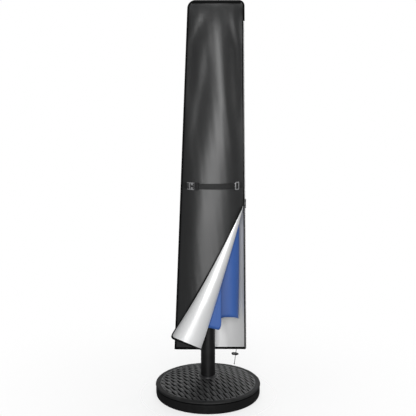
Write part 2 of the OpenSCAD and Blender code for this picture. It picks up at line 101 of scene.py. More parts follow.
world = bpy.data.worlds.new("studio")
scene.world = world
world.use_nodes = True
w_nodes, w_links = world.node_tree.nodes, world.node_tree.links
w_nodes.clear()
w_out = w_nodes.new("ShaderNodeOutputWorld")
w_mix = w_nodes.new("ShaderNodeMixShader")
w_path = w_nodes.new("ShaderNodeLightPath")
w_links.new(w_path.outputs["Is Camera Ray"], w_mix.inputs["Fac"])
for socket, colour, strength in ((1, (0.96, 0.98, 1, 1), 0.15), (2, (1, 1, 1, 1), 1.0)):
    shade = w_nodes.new("ShaderNodeBackground")
    shade.inputs["Color"].default_value = colour
    shade.inputs["Strength"].default_value = strength
    w_links.new(shade.outputs[0], w_mix.inputs[socket])
w_links.new(w_mix.outputs[0], w_out.inputs["Surface"])


# ---- material building

class Nodes:
    """A material's node tree, with short calls for what the materials below repeat."""

    def __init__(self, name):
        self.mat = bpy.data.materials.new(name)
        self.mat.use_nodes = True
        self.tree = self.mat.node_tree
        self.tree.nodes.clear()
        out = self.new("ShaderNodeOutputMaterial")
        self.bsdf = self.new("ShaderNodeBsdfPrincipled")
        self.link(self.bsdf.outputs[0], out.inputs["Surface"])
        self.coord = self.new("ShaderNodeTexCoord")

    def new(self, kind, **settings):
        node = self.tree.nodes.new(kind)
        for key, value in settings.items():
            setattr(node, key, value)
        return node

    def link(self, a, b):
        self.tree.links.new(a, b)

    def put(self, socket, value):
        if isinstance(value, bpy.types.NodeSocket):
            self.link(value, socket)
        else:
            socket.default_value = value

    def feed(self, node, **inputs):
        """The node, with values or other nodes' outputs in its inputs."""
        for key, value in inputs.items():
            self.put(node.inputs[key.replace("_", " ")], value)
        return node

    def set(self, **values):
        self.feed(self.bsdf, **values)

    def math(self, op, a, b=0.0, c=0.0):
        node = self.new("ShaderNodeMath", operation=op)
        for i, v in enumerate((a, b, c)):
            self.put(node.inputs[i], v)
        return node.outputs[0]

    def noise(self, scale, detail=3.0, rough=0.5, stretch=None):
        at = self.coord.outputs["Object"]
        if stretch:
            at = self.feed(self.new("ShaderNodeMapping"), Vector=at, Scale=stretch).outputs[0]
        node = self.new("ShaderNodeTexNoise")
        return self.feed(node, Vector=at, Scale=scale, Detail=detail, Roughness=rough).outputs["Fac"]

    def span(self, value, low, high, to_low=0.0, to_high=1.0):
        return self.feed(self.new("ShaderNodeMapRange"), Value=value, From_Min=low, From_Max=high,
                         To_Min=to_low, To_Max=to_high).outputs[0]

    def mix(self, fac, a, b):
        node = self.new("ShaderNodeMix", data_type="RGBA")
        self.put(node.inputs["Factor"], fac)
        for socket, v in ((node.inputs["A"], a), (node.inputs["B"], b)):
            self.put(socket, v if isinstance(v, bpy.types.NodeSocket) else (*v[:3], 1))
        return node.outputs["Result"]

    def bump(self, height, depth, strength, under=None):
        node = self.feed(self.new("ShaderNodeBump"), Distance=depth, Strength=strength, Height=height)
        if under:
            self.link(under, node.inputs["Normal"])
        self.set(Normal=node.outputs[0])
        return node.outputs[0]

    def painted_shade(self):
        return self.new("ShaderNodeAttribute", attribute_name="painted_shade").outputs["Fac"]

    def uv(self):
        """The UV map in metres, as separate u and v."""
        split = self.new("ShaderNodeSeparateXYZ")
        self.link(self.coord.outputs["UV"], split.inputs[0])
        return split.outputs[0], split.outputs[1]

    def waves(self, value, pitch):
        """0 to 1 and back, once a pitch."""
        angle = self.math("MULTIPLY", value, 2 * math.pi / pitch)
        return self.math("MULTIPLY_ADD", self.math("SINE", angle), 0.5, 0.5)


def woven(name, dark, light, pitch, rough, depth, metallic=0.0, sheen=0.0, spec=0.5, stain=0.2, painted_shade=None):
    """Plain weave: warp and weft threads pass over each other in UV space, with slow colour variation."""
    m = Nodes(name)
    u, v = m.uv()
    check = m.feed(m.new("ShaderNodeTexChecker"), Vector=m.coord.outputs["UV"], Scale=1 / pitch,
                   Color1=(1, 1, 1, 1), Color2=(0, 0, 0, 1))
    over = m.feed(m.new("ShaderNodeMix"), Factor=check.outputs["Fac"],
                  A=m.waves(u, pitch), B=m.waves(v, pitch))
    thread = over.outputs["Result"]
    slub = m.noise(260, 2, 0.6, stretch=(1, 1, 6))
    cloud = m.noise(3.2, 4, 0.6)
    tone = m.math("ADD", m.math("MULTIPLY", thread, 0.45), m.math("MULTIPLY", m.span(slub, 0.3, 0.7), 0.30))
    tone = m.math("ADD", tone, m.math("MULTIPLY", m.span(cloud, 0.3, 0.7), stain))
    colour = m.mix(tone, dark, light)
    # painted shade: the colour turns towards the given shade colour where the painted shade value is low, in
    # the canopy's pleats
    if painted_shade:
        colour = m.mix(m.painted_shade(), painted_shade, colour)
    m.set(Base_Color=colour, Metallic=metallic,
          Roughness=m.span(cloud, 0.25, 0.75, rough - 0.05, rough + 0.06),
          Specular_IOR_Level=spec, Sheen_Weight=sheen, Sheen_Roughness=0.45)
    first = m.bump(m.noise(38, 4, 0.55), 0.0006, 0.35)
    m.bump(thread, depth, 0.6, first)
    return m.mat


def ribbed(name, dark, light, pitch, rough, along="v", spec=0.5):
    """Grosgrain or webbing: ribs across a band, with a broken thread pattern between them."""
    m = Nodes(name)
    u, v = m.uv()
    a, b = (v, u) if along == "v" else (u, v)
    rib = m.waves(a, pitch)
    cross = m.waves(m.math("ADD", b, m.math("MULTIPLY", m.math("SNAP", a, pitch), 0.5)), pitch * 1.6)
    height = m.math("ADD", m.math("MULTIPLY", rib, 0.7), m.math("MULTIPLY", cross, 0.3))
    tone = m.math("MULTIPLY_ADD", m.span(m.noise(90, 3), 0.3, 0.7), 0.5, m.math("MULTIPLY", height, 0.5))
    m.set(Base_Color=m.mix(tone, dark, light), Roughness=rough, Specular_IOR_Level=spec,
          Sheen_Weight=0.1 * spec)
    m.bump(height, 0.3 * MM, 0.8)
    return m.mat


def moulded(name, dark, light, rough, grain=900.0, depth=0.00008, spec=0.5, coat=0.0, painted_shade=False):
    """Moulded plastic or resin: fine grain, flow marks, polished patches, and painted shade, black and dull,
    where a piece's painted shade value is low.
    """
    m = Nodes(name)
    flow = m.noise(14, 4, 0.6)
    fine = m.noise(grain, 2, 0.5)
    matt, painted_shade_metallic = 0.0, 0.0
    colour = m.mix(m.span(flow, 0.3, 0.72), dark, light)
    # painted shade: where the painted shade value is low the colour goes near-black and metallic, so no
    # reflection shows there, and rougher
    if painted_shade:
        height = m.painted_shade()
        colour = m.mix(m.span(height, 0.25, 0.80), (0.0010, 0.0010, 0.0010), colour)
        matt = m.span(height, 0.25, 0.75, 0.55, 0.0)
        painted_shade_metallic = m.span(height, 0.20, 0.75, 0.95, 0.0)
    m.set(Base_Color=colour, Metallic=painted_shade_metallic,
          Roughness=m.math("ADD", m.span(m.noise(45, 3), 0.3, 0.7, rough - 0.07, rough + 0.08), matt),
          Specular_IOR_Level=spec, Coat_Weight=coat, Coat_Roughness=0.3)
    m.bump(fine, depth, 0.7, m.bump(m.noise(60, 3), 0.0002, 0.3))
    return m.mat


def coated_steel(name, dark, light, rough, metallic=0.0, streak=None, spec=0.5):
    """Powder coat or bare metal: orange peel or drawn lines, with rubbed, lighter places."""
    m = Nodes(name)
    wear = m.noise(22, 6, 0.65)
    lines = m.noise(420, 3, 0.55, stretch=streak) if streak else m.noise(520, 2, 0.5)
    m.set(Base_Color=m.mix(m.span(wear, 0.45, 0.75), dark, light), Metallic=metallic,
          Roughness=m.span(wear, 0.3, 0.7, rough - 0.06, rough + 0.08), Specular_IOR_Level=spec)
    m.bump(lines, 0.00006, 0.6)
    return m.mat


MAT = {
    "cover": woven("cover_polyester", (0.003, 0.0031, 0.0032), (0.012, 0.0123, 0.0125), 0.9 * MM, 0.48,
                   0.00012, spec=1.0),
    "lining": woven("silver_lining", (0.84, 0.845, 0.85), (0.97, 0.97, 0.965), 0.9 * MM, 0.40,
                    0.00007, metallic=0.38, stain=0.1),
    # painted shade: the canopy's cloth takes its last colour in the shaded folds of its pleats
    "canopy": woven("canopy_polyester", (0.020, 0.068, 0.27), (0.048, 0.142, 0.44), 0.8 * MM, 0.50,
                    0.00015, sheen=0.15, painted_shade=(0.012, 0.036, 0.14)),
    "binding": ribbed("black_binding", (0.001, 0.001, 0.001), (0.004, 0.004, 0.004), 1.1 * MM, 0.75,
                      spec=0.1),
    "webbing": ribbed("black_webbing", (0.004, 0.004, 0.004), (0.016, 0.016, 0.0165), 1.6 * MM, 0.6, "u",
                      spec=0.35),
    "cord": ribbed("braided_cord", (0.003, 0.003, 0.003), (0.014, 0.014, 0.0145), 1.3 * MM, 0.6, spec=0.3),
    "thread": coated_steel("black_thread", (0.010, 0.010, 0.010), (0.035, 0.035, 0.035), 0.6),
    "resin": moulded("base_resin", (0.024, 0.0245, 0.025), (0.050, 0.051, 0.052), 0.38, 700, 0.00012, 0.6,
                     painted_shade=True),
    "plastic": moulded("black_plastic", (0.010, 0.010, 0.0105), (0.026, 0.026, 0.027), 0.42),
    # painted highlight: the socket is black plastic, and this grey stands for the light on its ribs
    "buckle": moulded("buckle_grey_painted_highlight", (0.16, 0.16, 0.165), (0.30, 0.30, 0.305), 0.28, coat=0.3),
    "powder": coated_steel("black_powder_coat", (0.003, 0.003, 0.0032), (0.009, 0.009, 0.0092), 0.42,
                           spec=0.32),
    "zinc": coated_steel("zinc_plate", (0.42, 0.42, 0.43), (0.66, 0.66, 0.66), 0.33, 1.0, (1, 1, 8)),
    "pole": coated_steel("anodised_pole", (0.030, 0.031, 0.034), (0.060, 0.061, 0.066), 0.36, 0.7,
                         (1, 1, 0.04)),
    "chrome": coated_steel("plated_slide", (0.60, 0.60, 0.61), (0.86, 0.86, 0.87), 0.36, 0.8),
    "gunmetal": coated_steel("zip_gunmetal", (0.010, 0.010, 0.011), (0.030, 0.030, 0.031), 0.38, 0.3),
    "concrete": moulded("concrete", (0.30, 0.29, 0.27), (0.50, 0.49, 0.46), 0.85, 300, 0.0006, 0.3),
}

NODE_FINISH = {
    "concrete": ["ballast"],
    "plastic": ["bottom_plate", "lower_sleeve", "pole_foot", "runner", "top_hub", "finial", "rib_tips"],
    "zinc": ["plate_screws", "flange_bolts", "clamp_stem", "hinge_pins", "strut_rivets", "stop_pin",
             "pole_joint"],
    "powder": ["tube_flange", "upright_tube", "clamp_boss"],
    "pole": ["lower_pole", "upper_pole"] + [f"{kind}_{i}" for kind in ("rib", "strut") for i in range(1, 9)],
    "gunmetal": ["hem_eyelet"],
}
for finish, names in NODE_FINISH.items():
    for name in names:
        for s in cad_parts[name].material_slots:
            s.material = MAT[finish]


# ---- mesh building

def smooth(t):
    t = np.clip(t, 0, 1)
    return t * t * (3 - 2 * t)


def stands_for(piece, body=None, replaced=()):
    """Rides a piece on its body and hides the CAD nodes that it replaces."""
    if body:
        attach(piece, body)
    for node in replaced:
        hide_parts(node)
    return piece


def new_piece(name, part, finishes, body=None, replaced=()):
    """A mesh object from (verts, faces, UVs of each vertex or None), smooth, riding on a body."""
    verts, faces, uvs = part
    mesh = bpy.data.meshes.new(name)
    mesh.from_pydata([tuple(v) for v in verts], [], [tuple(f) for f in faces])
    for finish in finishes:
        mesh.materials.append(MAT[finish])
    if uvs is not None:
        layer = mesh.uv_layers.new(name="UVMap")
        corner = np.zeros(len(mesh.loops), np.int32)
        mesh.loops.foreach_get("vertex_index", corner)
        layer.data.foreach_set("uv", np.asarray(uvs, np.float32)[corner].ravel())
    mesh.polygons.foreach_set("use_smooth", [True] * len(mesh.polygons))
    mesh.update()
    piece = bpy.data.objects.new(name, mesh)
    scene.collection.objects.link(piece)
    return stands_for(piece, body, replaced)


def set_painted_shade(piece, values):
    """Painted shade of each point: 1 where there is none, lower in creases, grooves and folds, which its
    material darkens.
    """
    piece.data.attributes.new("painted_shade", "FLOAT", "POINT").data.foreach_set("value", values)


def grid_faces(rows, cols, wrap=False):
    last = cols if wrap else cols - 1
    return [(i * cols + j, i * cols + (j + 1) % cols, (i + 1) * cols + (j + 1) % cols, (i + 1) * cols + j)
            for i in range(rows - 1) for j in range(last)]


def thicken(piece, thickness, offset, rim=0, inner=0):
    """Gives a sheet its thickness, with its other face and its edge in their own materials."""
    mod = piece.modifiers.new("thickness", "SOLIDIFY")
    mod.thickness, mod.offset = thickness, offset
    mod.use_even_offset = False
    mod.material_offset, mod.material_offset_rim = inner, rim
    apply_modifiers(piece)


def cloth_cut(grid):
    """The flat cut that a grid of cloth points came from: (width, length) and area."""
    width = np.linalg.norm(np.diff(grid, axis=1), axis=-1).sum(1).max()
    length = np.linalg.norm(np.diff(grid, axis=0), axis=-1).sum(0).max()
    one, other = grid[1:, 1:] - grid[:-1, :-1], grid[1:, :-1] - grid[:-1, 1:]
    area = np.linalg.norm(np.cross(one, other), axis=-1).sum() / 2
    return (float(width), float(length)), float(min(area, width * length))


def apply_modifiers(piece):
    shown = bpy.context.evaluated_depsgraph_get()
    done = bpy.data.meshes.new_from_object(piece.evaluated_get(shown))
    piece.modifiers.clear()
    piece.data = done


def unit(v):
    return v / np.linalg.norm(v, axis=-1, keepdims=True)


def run_of(points):
    """Length along a line of points, up to each of them."""
    return np.concatenate([[0], np.cumsum(np.linalg.norm(np.diff(points, axis=0), axis=1))])


def frames(path, up):
    """Unit tangents and two unit sides along a path; up is a vector or one vector a point."""
    path = np.asarray(path, float)
    up = np.broadcast_to(np.asarray(up, float), path.shape)
    t = unit(np.gradient(path, axis=0))
    side = unit(np.cross(t, up))
    return t, side, np.cross(side, t)


def sweep(path, section, up, scale=1.0):
    """Verts, faces and UVs of a section, (side, up) pairs, carried along a path and scaled on its way."""
    path, section = np.asarray(path, float), np.asarray(section, float)
    t, side, normal = frames(path, up)
    rows, cols = len(path), len(section)
    reach = section[None] * np.broadcast_to(scale, rows)[:, None, None]
    verts = path[:, None] + reach[..., 0:1] * side[:, None] + reach[..., 1:2] * normal[:, None]
    uvs = np.stack(np.meshgrid(run_of(section), run_of(path)), -1).reshape(-1, 2)
    faces = [f[::-1] for f in grid_faces(rows, cols, wrap=True)]
    faces += [tuple(range(cols)), tuple(range((rows - 1) * cols, rows * cols))[::-1]]
    return verts.reshape(-1, 3), faces, uvs


def round_bar(width, height, radius, steps=4):
    """A rounded rectangle, (side, up) pairs, centred."""
    pts = []
    for cx, cy, start in ((1, 1, 0), (-1, 1, 90), (-1, -1, 180), (1, -1, 270)):
        for k in range(steps + 1):
            a = math.radians(start + 90 * k / steps)
            pts.append((cx * (width / 2 - radius) + radius * math.cos(a),
                        cy * (height / 2 - radius) + radius * math.sin(a)))
    return pts


def circle(radius, sides=16):
    return [(radius * math.cos(2 * math.pi * k / sides), radius * math.sin(2 * math.pi * k / sides))
            for k in range(sides)]


def joined(parts):
    """Several (verts, faces, uvs) as one."""
    verts, faces, uvs, n = [], [], [], 0
    for v, f, t in parts:
        verts.append(np.asarray(v, float))
        uvs.append(np.asarray(t, float))
        faces += [tuple(i + n for i in face) for face in f]
        n += len(v)
    return np.concatenate(verts), faces, np.concatenate(uvs)


def box_part(centre, axes, size, bevel=0.0):
    """A box, with its corners cut back if bevel is given, as (verts, faces, uvs)."""
    bm = bmesh.new()
    bmesh.ops.create_cube(bm, size=1)
    for v in bm.verts:
        v.co = Vector([v.co[i] * size[i] for i in range(3)])
    if bevel:
        bmesh.ops.bevel(bm, geom=list(bm.edges) + list(bm.verts), offset=bevel, segments=2, affect="EDGES")
    bm.verts.index_update()
    local = np.array([v.co for v in bm.verts])
    faces = [tuple(v.index for v in f.verts) for f in bm.faces]
    bm.free()
    return np.asarray(centre) + local @ np.asarray(axes, float), faces, local[:, :2]


# ---- base

base_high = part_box("base_shell")[1]
BASE_R = base_high.x
HUB_H = base_high.z
RIM_H = HUB_H - 30 * MM
TUBE_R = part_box("upright_tube")[1].x
WEAVE_R = BASE_R - 24 * MM
COLLAR_R = TUBE_R + 13 * MM
STRIP_W, STRIP_L = 16 * MM, 36 * MM   # the moulded weave: width of its strips and length that shows of each
WEAVE_TURN = math.radians(-62)
RELIEF = 4.2 * MM
WALL_PAINTED_SHADE, RIM_PAINTED_SHADE = 0.34, 0.46      # painted shade: how light the wall and the rim are painted, as painted shade values


def dome(r):
    s = np.clip((r - TUBE_R) / (WEAVE_R - TUBE_R), 0, 1)
    return RIM_H + (HUB_H - RIM_H) * np.cos(np.pi / 2 * s) ** 1.2


def weave_height(x, y):
    """0 to 1: strips along the weave's turn pass over and under wider ones, and each leans to one side."""
    a = (x * math.cos(WEAVE_TURN) + y * math.sin(WEAVE_TURN)) / STRIP_L
    b = (-x * math.sin(WEAVE_TURN) + y * math.cos(WEAVE_TURN)) / STRIP_W
    i, j = np.floor(a), np.floor(b)
    ta, tb = 2 * (a - i) - 1, 2 * (b - j) - 1
    over = (i + j) % 2 == 0
    round_b, round_a = np.sqrt(1 - (0.96 * tb) ** 2), np.sqrt(1 - (0.96 * ta) ** 8)
    first = (0.30 + 0.70 * round_b) * (1 - 0.35 * ta ** 6) + 0.10 * tb
    second = (0.22 + 0.50 * np.cos(1.35 * tb)) * (0.45 + 0.55 * round_a)
    h = np.where(over, first, second)
    pit = np.exp(-((tb + 1) / 0.32) ** 2) * over + np.exp(-((tb - 1) / 0.32) ** 2) * ~over
    return np.clip(h - 0.75 * pit * (1 - ta ** 8), 0, 1)


def make_base():
    turns = 720
    angle = np.linspace(0, 2 * np.pi, turns, endpoint=False)
    wall = [(9, 0), (5, 1.2), (3.5, 3.5), (1.8, 12), (1.5, 20), (1.6, 32)]
    rim = [(2.2, -14), (6.2, -12.6), (7.0, -11), (5.6, -9.8), (1.6, -9.2), (0.3, -7.6), (0, -5.6),
           (0.6, -3.4), (2.2, -1.6), (4.6, -0.5), (7.5, -0.1), (12, 0), (18, 0.2), (21, 0.3)]
    lip = [(BASE_R - r * MM, h * MM) for r, h in wall]
    lip += [(BASE_R - r * MM, RIM_H + h * MM) for r, h in rim] + [(WEAVE_R + 1 * MM, RIM_H)]
    field = np.arange(WEAVE_R, COLLAR_R, -1.7 * MM)
    collar = [(COLLAR_R, dome(COLLAR_R) - 0.6 * MM), (COLLAR_R - 1 * MM, dome(COLLAR_R) + 0.4 * MM),
              (COLLAR_R - 3 * MM, dome(COLLAR_R) + 0.9 * MM), (TUBE_R + 1 * MM, HUB_H - 0.2 * MM),
              (TUBE_R + 1 * MM, HUB_H - 5 * MM)]
    inside = [(r, float(dome(r)) - 5 * MM) for r in np.linspace(TUBE_R + 4 * MM, WEAVE_R, 12)]
    inside += [(BASE_R - 7 * MM, RIM_H - 7 * MM), (BASE_R - 7 * MM, 12 * MM), (BASE_R - 10 * MM, 2 * MM),
               (BASE_R - 10 * MM, 0)]
    radii, heights = np.array(lip + list(zip(field, dome(field))) + collar + inside).T
    x, y = radii[:, None] * np.cos(angle), radii[:, None] * np.sin(angle)
    z = np.repeat(heights[:, None], turns, 1)
    rows = slice(len(lip), len(lip) + len(field))
    edge = smooth((WEAVE_R - radii[rows]) / (3 * MM)) * smooth((radii[rows] - COLLAR_R) / (3 * MM))
    weave = weave_height(x[rows], y[rows])
    z[rows] += (weave - 0.75) * RELIEF * edge[:, None]
    # painted shade: the weave is darkened in its creases, and the wall, the groove under the lip and the rim
    # are darkened as well
    shade = np.ones_like(z)
    shade[rows] = 1 - (1 - weave) * edge[:, None]
    groove = slice(len(wall) + 1, len(wall) + 4)
    shade[:groove.start] = WALL_PAINTED_SHADE
    shade[groove] = 0
    shade[groove.stop:len(lip)] = RIM_PAINTED_SHADE
    verts = np.stack([x, y, z], -1).reshape(-1, 3)
    n = len(radii)
    faces = [f[::-1] for f in grid_faces(n, turns, wrap=True)]
    last = (n - 1) * turns
    faces += [(j, (j + 1) % turns, last + (j + 1) % turns, last + j)[::-1] for j in range(turns)]
    piece = new_piece("base_shell_woven", (verts, faces, verts[:, :2]), ["resin"], "base", ["base_shell"])
    set_painted_shade(piece, shade.ravel())


make_base()

# ---- cover's shape

front_low, front_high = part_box("cover_front")
TOP = front_high.z
HEM = front_low.z
LEFT_HEM, RIGHT_HEM = front_low.x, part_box("cover_back")[1].x
LEFT_TOP, RIGHT_TOP = -84 * MM, 155 * MM
CORNER_LEFT, CORNER_RIGHT = 30 * MM, 18 * MM
DEPTH = 92 * MM                       # half of the cover's depth at its hem
SEAM_GAP = 0.5 * MM
HEM_TILT = 0.36
ZIP_Z = 919 * MM
APEX_X, FOLD_X = 165 * MM, -33 * MM
CLOTH = 1.1 * MM
SHELL = 2 * MM                        # the frame's own cloth, which this one lies in
OUTWARD = (0, -1.0, 0)                # out of the front panel


def down(z):
    return (TOP - z) / (TOP - HEM)


def corner(z, r):
    h = np.clip(z - TOP + r, 0, r)
    return r - np.sqrt(np.maximum(0, r * r - h * h))


def seam_left(z):
    return LEFT_TOP + (LEFT_HEM - LEFT_TOP) * down(z) + corner(z, CORNER_LEFT)


def seam_right(z):
    return RIGHT_TOP + (RIGHT_HEM - RIGHT_TOP) * down(z) - corner(z, CORNER_RIGHT)


def half_depth(z):
    return DEPTH * (1 - np.exp(-down(z) / 0.036)) * (0.74 + 0.26 * down(z))


def fold_at(z):
    return FOLD_X + (APEX_X - FOLD_X) * (z - HEM) / (ZIP_Z - HEM)


# The crest of each panel, as (height, x).
CREST = {"front": [(1.826, 0.034), (1.60, 0.046), (1.38, 0.062), (1.20, 0.048), (1.01, 0.012),
                   (0.80, -0.012), (0.20, -0.004)],
         "back": [(1.826, 0.030), (1.50, 0.016), (1.10, 0.020), (0.60, 0.030), (0.20, 0.022)]}
# Folds that fan out from the top seam: a line of (height, x) that faces the front, half widths at the top and
# at the hem, strength, the height below which it fades, where it starts and how fast it comes in.
FOLDS = {"front": [([(1.81, -0.004), (1.64, -0.086), (1.50, -0.094), (0.2, -0.12)],
                    0.024, 0.036, 0.60, 1.44, 1.826, 0.03),
                   ([(1.80, 0.004), (1.52, -0.024), (1.385, -0.050), (1.25, -0.074), (0.2, -0.12)],
                    0.022, 0.038, 0.56, 1.29, 1.73, 0.20),
                   ([(1.82, 0.078), (1.625, 0.132), (1.45, 0.140), (0.2, 0.15)],
                    0.020, 0.032, 0.60, 1.42, 1.826, 0.03)],
         "back": [([(1.81, 0.0), (1.6, -0.06), (1.2, -0.09), (0.2, -0.10)],
                   0.016, 0.030, 0.9, 0.7, 1.826, 0.05),
                  ([(1.81, 0.06), (1.55, 0.085), (1.1, 0.10), (0.2, 0.12)],
                   0.014, 0.034, 0.9, 0.5, 1.826, 0.05)]}
WRINKLE = 0.7 * MM


def line_at(points, z):
    """x of a given line at height z, its points ordered downwards."""
    heights, xs = zip(*points)
    return np.interp(z, heights[::-1], xs[::-1])


def wrinkle(x, z, seed):
    """Slow, shallow unevenness of hung cloth, within one unit either way."""
    rng = np.random.default_rng(seed)
    total = np.zeros(np.broadcast(x, z).shape)
    for _ in range(9):
        fx, fz, phase = rng.uniform(8, 34), rng.uniform(1.2, 7), rng.uniform(0, 2 * np.pi)
        total = total + np.sin(2 * np.pi * (fx * x + fz * z) + phase) / 9
    return total


class Panel:
    """One panel of the cover: its depth at any x and z, with folds, as a table a row of heights."""
    SAMPLES = 241

    def __init__(self, face):
        self.sign = -1 if face == "front" else 1
        self.heights = np.linspace(HEM - 40 * MM, TOP, 420)
        u = np.linspace(-1, 1, self.SAMPLES)
        table = []
        for z in self.heights:
            left, right = float(seam_left(z)), float(seam_right(z))
            mid, half = (left + right) / 2, (right - left) / 2
            peak = np.clip((line_at(CREST[face], z) - mid) / half, -0.6, 0.6)
            steep = np.ones_like(u)
            for line, w_top, w_low, strength, fades, starts, rise in FOLDS[face]:
                at = (line_at(line, z) - mid) / half
                w = (w_low + (w_top - w_low) * (z - HEM) / (TOP - HEM)) / half
                live = strength * smooth((z - fades) / 0.22 + 1) * smooth((starts - z) / rise)
                steep *= 1 - live * np.exp(-((u - at) / w) ** 2)
            run = np.concatenate([[0], np.cumsum((steep[1:] + steep[:-1]) / 2)])
            at_peak = np.interp(peak, u, run)
            g = np.where(u < peak, (run - at_peak) / at_peak, (run - at_peak) / (run[-1] - at_peak))
            power = 1.75 + 0.55 * float(smooth((1.5 - z) / 0.5))
            table.append((1 - np.abs(g) ** power) ** 0.85)
        self.table = np.array(table)

    def crown(self, x, z):
        left, right = seam_left(z), seam_right(z)
        u = np.clip((x - (left + right) / 2) / ((right - left) / 2), -1, 1)
        col = (u + 1) / 2 * (self.SAMPLES - 1)
        low, high, last = self.heights[0], self.heights[-1], len(self.heights) - 1
        row = np.clip((z - low) / (high - low), 0, 1) * last
        c0, r0 = np.minimum(col.astype(int), self.SAMPLES - 2), np.minimum(row.astype(int), last - 1)
        fc, fr = col - c0, row - r0
        t = self.table
        return ((t[r0, c0] * (1 - fc) + t[r0, c0 + 1] * fc) * (1 - fr)
                + (t[r0 + 1, c0] * (1 - fc) + t[r0 + 1, c0 + 1] * fc) * fr)

    def point(self, x, z, out=0.0):
        """Point of the panel's outer face, or out metres outside it."""
        x, z = np.broadcast_arrays(np.asarray(x, float), np.asarray(z, float))
        crown = self.crown(x, z)
        d = half_depth(z) * crown
        soft = WRINKLE * wrinkle(x, z, 3 if self.sign < 0 else 4) * crown
        y = self.sign * (SEAM_GAP + d + SHELL + soft - 0.3 * MM + out)
        return np.stack([x, y, z - self.sign * HEM_TILT * d * np.clip(down(z), 0, 1.2) ** 6], -1)

    def normal(self, x, z):
        """Unit normal, pointing out of the cover."""
        e = 1 * MM
        across = self.point(x + e, z) - self.point(x - e, z)
        up = self.point(x, z + e) - self.point(x, z - e)
        n = unit(np.cross(across, up))
        return n if self.sign < 0 else -n


FRONT, BACK = Panel("front"), Panel("back")


def front_edge(z):
    return np.where(z < ZIP_Z, np.minimum(fold_at(z), seam_right(z)), seam_right(z))


def make_panel(name, panel, right_edge, cols, replaced):
    fine = 1.74                       # height above which the rows lie closer
    z = np.concatenate([np.linspace(HEM, fine, 170),
                        TOP - (TOP - fine) * (1 - np.linspace(0, 1, 22)[1:]) ** 1.6])
    s = np.linspace(0, 1, cols)
    x = seam_left(z)[:, None] + (right_edge(z) - seam_left(z))[:, None] * s
    zz = np.repeat(z[:, None], cols, 1)
    verts = panel.point(x, zz).reshape(-1, 3)
    uvs = np.stack([x, zz], -1).reshape(-1, 2)
    faces = grid_faces(len(z), cols)
    if panel.sign > 0:
        faces = [f[::-1] for f in faces]
    piece = new_piece(name, (verts, faces, uvs), ["cover", "lining", "binding"])
    thicken(piece, CLOTH, -1, rim=2, inner=1)
    stands_for(piece, "cover", [replaced])
    return piece, cloth_cut(verts.reshape(len(z), cols, 3))


cover_front, front_cut = make_panel("cover_front_cloth", FRONT, front_edge, 120, "cover_front")
cover_back, back_cut = make_panel("cover_back_cloth", BACK, seam_right, 130, "cover_back")

# ---- flap, the front panel's folded-back corner

FLAP_REACH = (-139 * MM, 47 * MM)     # free corner, from the fold's foot: x and z
FLAP_BULGE = 62 * MM
FLAP_ARC = math.radians(150)
FLAP_START = 0.012
FLAP_STAND = 150 * MM                 # how far left the free edge keeps to the panel before it stands off
ROUND_S, ROUND_T = 0.24, 0.060        # share of the hem and of the free edge taken by the round corner


def flap_foot(t):
    z = ZIP_Z + (HEM - ZIP_Z) * t
    return FRONT.point(fold_at(z), z, -0.5 * CLOTH)


def flap_free(t):
    f = flap_foot(t)
    x, z = f[..., 0] + FLAP_REACH[0] * t, f[..., 2] + FLAP_REACH[1] * t
    under = np.where(x < 0, -FLAP_STAND * np.tanh(-x / FLAP_STAND), x)
    y = -(half_depth(z) * FRONT.crown(under, z) + SHELL + 9 * MM + 8 * MM * t)
    return np.stack([x, y, z], -1)


def flap_point(t, s, out=0.0):
    """Point of the rolled flap: t from the apex to the hem, s from the fold to the free edge."""
    t, s = np.broadcast_arrays(np.asarray(t, float), np.asarray(s, float))
    f = flap_foot(t)
    q = flap_free(t) - f
    e1 = unit(q)
    e2 = unit(np.array(OUTWARD) + e1[..., 1:2] * e1)
    k, half = (s - 0.5) * FLAP_ARC, FLAP_ARC / 2
    side = (np.sin(k) + math.sin(half)) / (2 * math.sin(half))
    bump = (np.cos(k) - math.cos(half)) / (1 - math.cos(half))
    soft = 0.9 * MM * np.sin(9 * t + 4 * s) * np.sin(np.pi * s) * t
    rise = FLAP_BULGE * t * bump + soft
    normal = np.sin(k)[..., None] * e1 + np.cos(k)[..., None] * e2
    lift = np.array([0, 0, 1.0]) * (HEM_TILT * rise)[..., None]
    return f + q * side[..., None] + e2 * rise[..., None] + lift + normal * np.asarray(out)[..., None]


def flap_normal(t, s):
    e = 1e-3
    a = flap_point(t, s + e) - flap_point(t, s - e)
    b = flap_point(t + e, s) - flap_point(t - e, s)
    n = unit(np.cross(a, b))
    return n * np.where(n[..., 1:2] > 0, -1, 1)


def flap_end(t):
    """Share of the width at which the flap ends, with its free corner rounded."""
    h = np.clip((t - (1 - ROUND_T)) / ROUND_T, 0, 1)
    return 1 - ROUND_S * (1 - np.sqrt(1 - h * h))


def make_flap():
    t = np.concatenate([np.linspace(FLAP_START, 1 - ROUND_T, 120),
                        1 - ROUND_T * (1 - np.linspace(0, 1, 12)[1:]) ** 2])
    cols = 64
    s = np.linspace(0, 1, cols) * flap_end(t)[:, None]
    tt = np.repeat(t[:, None], cols, 1)
    verts = flap_point(tt, s).reshape(-1, 3)
    uvs = np.stack([s * tt * 0.21, tt * 0.7], -1).reshape(-1, 2)
    piece = new_piece("corner_flap_cloth", (verts, grid_faces(len(t), cols), uvs),
                      ["lining", "cover", "binding"])
    thicken(piece, CLOTH, 0, rim=2, inner=1)
    return piece, cloth_cut(verts.reshape(len(t), cols, 3))


flap, flap_cut = make_flap()


